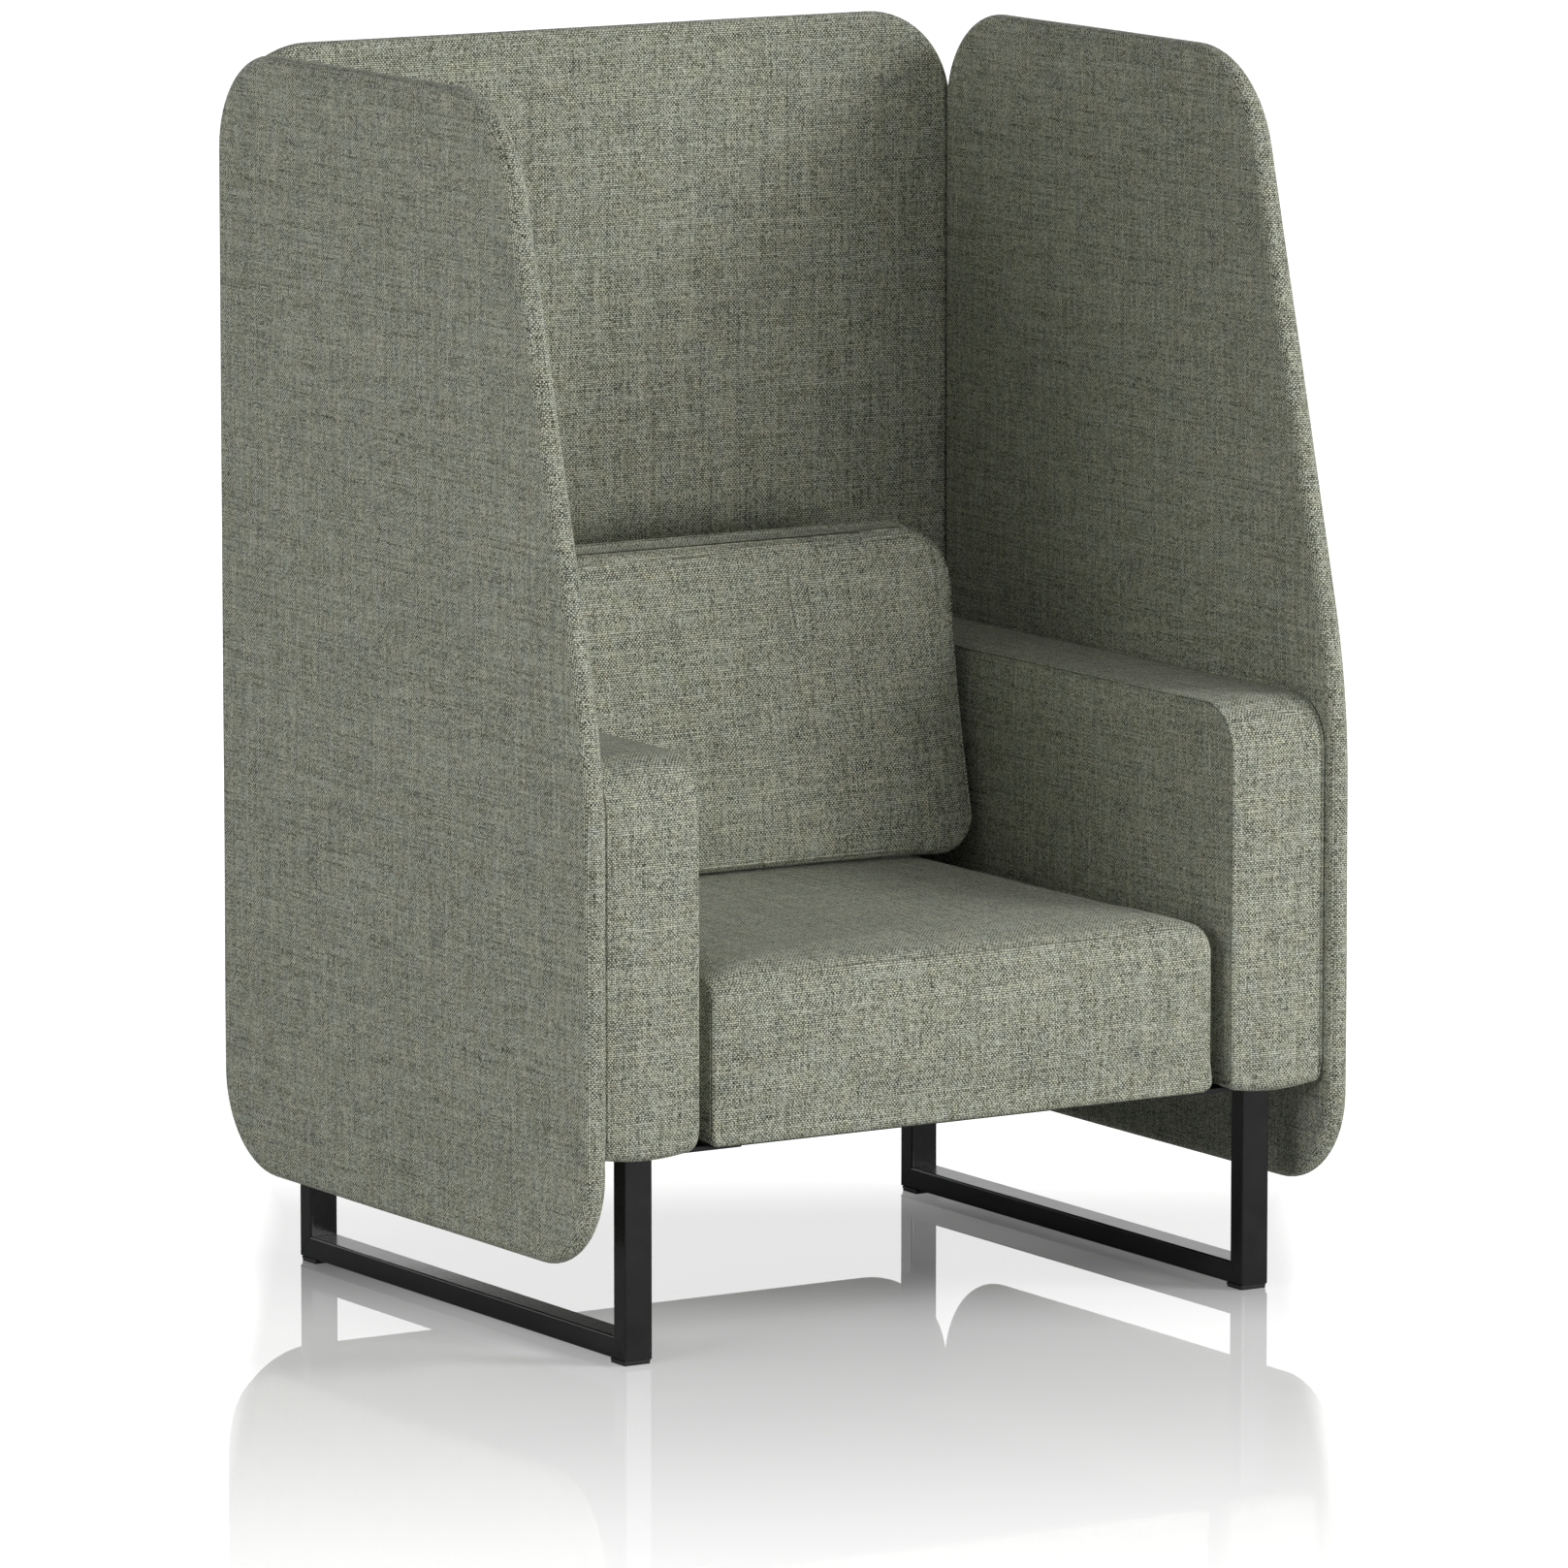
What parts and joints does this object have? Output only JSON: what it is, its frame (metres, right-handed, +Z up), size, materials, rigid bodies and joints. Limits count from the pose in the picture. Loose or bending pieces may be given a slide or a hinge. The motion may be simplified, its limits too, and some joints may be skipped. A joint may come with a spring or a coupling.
{
  "type": "lounge_chair",
  "caption": "Lounge chair with a padded seat, wedge back cushion and arms, closed in by tall rounded fabric screens on three sides, on steel sled frames with rectangular glides.",
  "frame": {"origin": "on the floor under the middle of the chair's bounding box", "axes": "+X to the viewer's right when the front is seen, -Y is the front, +Z is up"},
  "size_m": [0.99, 0.832, 1.376],
  "materials": {
    "fabric_light": "woven grey-green melange, matte",
    "fabric_dark": "woven grey-green melange, matte",
    "screen_board": "raw fibreboard, hidden",
    "timber": "raw plywood and pine, hidden",
    "webbing": "woven elastic strap, hidden",
    "dust_cloth": "black non-woven cloth",
    "black_steel": "satin black powder coat",
    "bolt_steel": "dark zinc plated",
    "glide_plastic": "matte black",
    "glide_sole": "matte black, non-slip"
  },
  "bodies": {
    "root": {"left_screen_board": "screen_board", "left_screen_inner_pad": "fabric_dark", "left_screen_outer_pad": "fabric_light", "right_screen_board": "screen_board", "right_screen_inner_pad": "fabric_dark", "right_screen_outer_pad": "fabric_light", "back_screen_board": "screen_board", "back_screen_front_pad": "fabric_dark", "back_screen_rear_pad": "fabric_light", "left_arm_frame": "timber", "left_arm_band": "fabric_light", "left_arm_outer_pad": "fabric_dark", "left_arm_inner_pad": "fabric_dark", "right_arm_frame": "timber", "right_arm_band": "fabric_light", "right_arm_outer_pad": "fabric_dark", "right_arm_inner_pad": "fabric_dark", "seat_cushion": "fabric_light", "seat_frame": "timber", "seat_webbing": "webbing", "seat_dust_cover": "dust_cloth", "backrest_panel": "timber", "backrest_block": "fabric_dark", "back_cushion": "fabric_light", "left_sled_bottom_rail": "black_steel", "left_sled_rear_leg": "black_steel", "left_sled_front_leg": "black_steel", "right_sled_bottom_rail": "black_steel", "right_sled_rear_leg": "black_steel", "right_sled_front_leg": "black_steel", "left_front_glide_cap": "glide_plastic", "left_front_glide_sole": "glide_sole", "left_front_mounting_plate": "black_steel", "left_front_arm_bolt": "bolt_steel", "left_front_seat_bolt": "bolt_steel", "left_front_screen_bolt": "bolt_steel", "left_rear_glide_cap": "glide_plastic", "left_rear_glide_sole": "glide_sole", "left_rear_mounting_plate": "black_steel", "left_rear_arm_bolt": "bolt_steel", "left_rear_seat_bolt": "bolt_steel", "left_rear_screen_bolt": "bolt_steel", "left_back_screen_bolt": "bolt_steel", "right_front_glide_cap": "glide_plastic", "right_front_glide_sole": "glide_sole", "right_front_mounting_plate": "black_steel", "right_front_arm_bolt": "bolt_steel", "right_front_seat_bolt": "bolt_steel", "right_front_screen_bolt": "bolt_steel", "right_rear_glide_cap": "glide_plastic", "right_rear_glide_sole": "glide_sole", "right_rear_mounting_plate": "black_steel", "right_rear_arm_bolt": "bolt_steel", "right_rear_seat_bolt": "bolt_steel", "right_rear_screen_bolt": "bolt_steel", "right_back_screen_bolt": "bolt_steel"}
  },
  "joints": []
}
